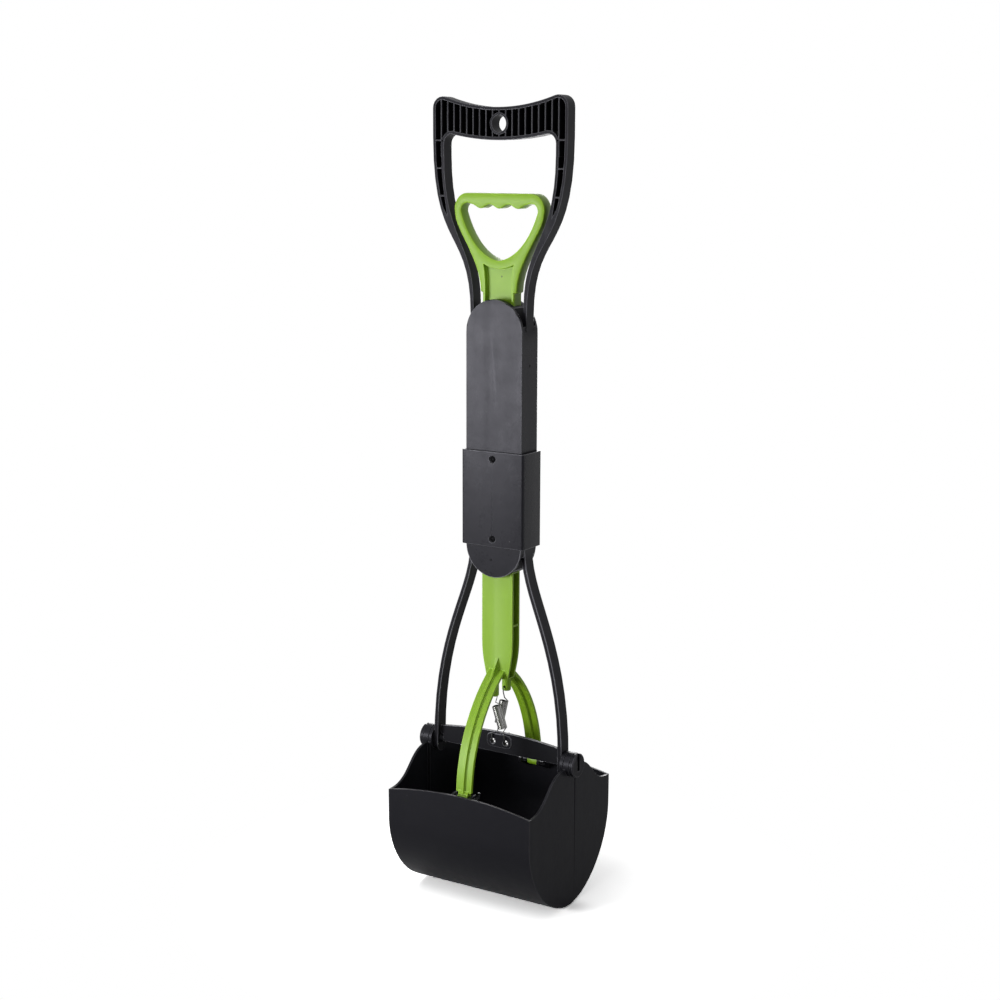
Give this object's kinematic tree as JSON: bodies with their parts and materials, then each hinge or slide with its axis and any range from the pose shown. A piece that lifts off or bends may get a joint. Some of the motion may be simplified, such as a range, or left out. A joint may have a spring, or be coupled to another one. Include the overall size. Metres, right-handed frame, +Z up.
{
  "type": "pet waste scoop",
  "caption": "Long-handled scoop: two hinged half-shell jaws on a forked shaft, opened by a sliding pull handle with an arched yoke and shut by tension springs.",
  "frame": {"origin": "centre of the closed jaws' footprint, at their lowest point", "axes": "+Z runs up the shaft to the hanging hole, +X along the jaws' hinge line to the right, -Y towards the front, where the collar's screws are"},
  "size_m": [0.1438, 0.125, 0.625],
  "materials": {
    "black_plastic": "fine satin moulding grain",
    "green_plastic": "smooth satin moulding",
    "bright_steel": "bright drawn wire",
    "dark_steel": "black coating"
  },
  "bodies": {
    "frame": {"upper_frame": "black_plastic", "lower_frame": "black_plastic", "collar_front": "black_plastic", "collar_rear": "black_plastic", "collar_screw_upper": "dark_steel", "collar_screw_lower": "dark_steel", "hinge_pin_left": "black_plastic", "hinge_pin_right": "black_plastic", "spring_front": "bright_steel", "spring_rear": "bright_steel"},
    "slider": {"pull_handle": "green_plastic", "slider_yoke": "green_plastic", "link_pin_upper": "bright_steel", "link_pin_lower": "bright_steel", "foot_pin_front": "bright_steel", "foot_pin_rear": "bright_steel"},
    "front_jaw": {"jaw_front": "black_plastic"},
    "rear_jaw": {"jaw_rear": "black_plastic"}
  },
  "joints": [
    {"name": "slider_slide", "type": "slide", "parent": "frame", "child": "slider", "axis": [0, 0, 1], "range_m": [0, 0.034], "stiffness_N_per_m": 300, "springref_m": -0.017, "deforming": ["spring_front", "spring_rear"]},
    {"name": "front_jaw_turn", "type": "hinge", "parent": "frame", "child": "front_jaw", "pos_m": [0, 0, 0.117], "axis": [-1, 0, 0], "range_deg": [0, 35.4]},
    {"name": "rear_jaw_turn", "type": "hinge", "parent": "frame", "child": "rear_jaw", "pos_m": [0, 0, 0.117], "axis": [1, 0, 0], "range_deg": [0, 35.4]}
  ],
  "couplings": [
    {"joint": "front_jaw_turn", "follows": "slider_slide", "rad_per_m": 18.147},
    {"joint": "rear_jaw_turn", "follows": "slider_slide", "rad_per_m": 18.147}
  ]
}
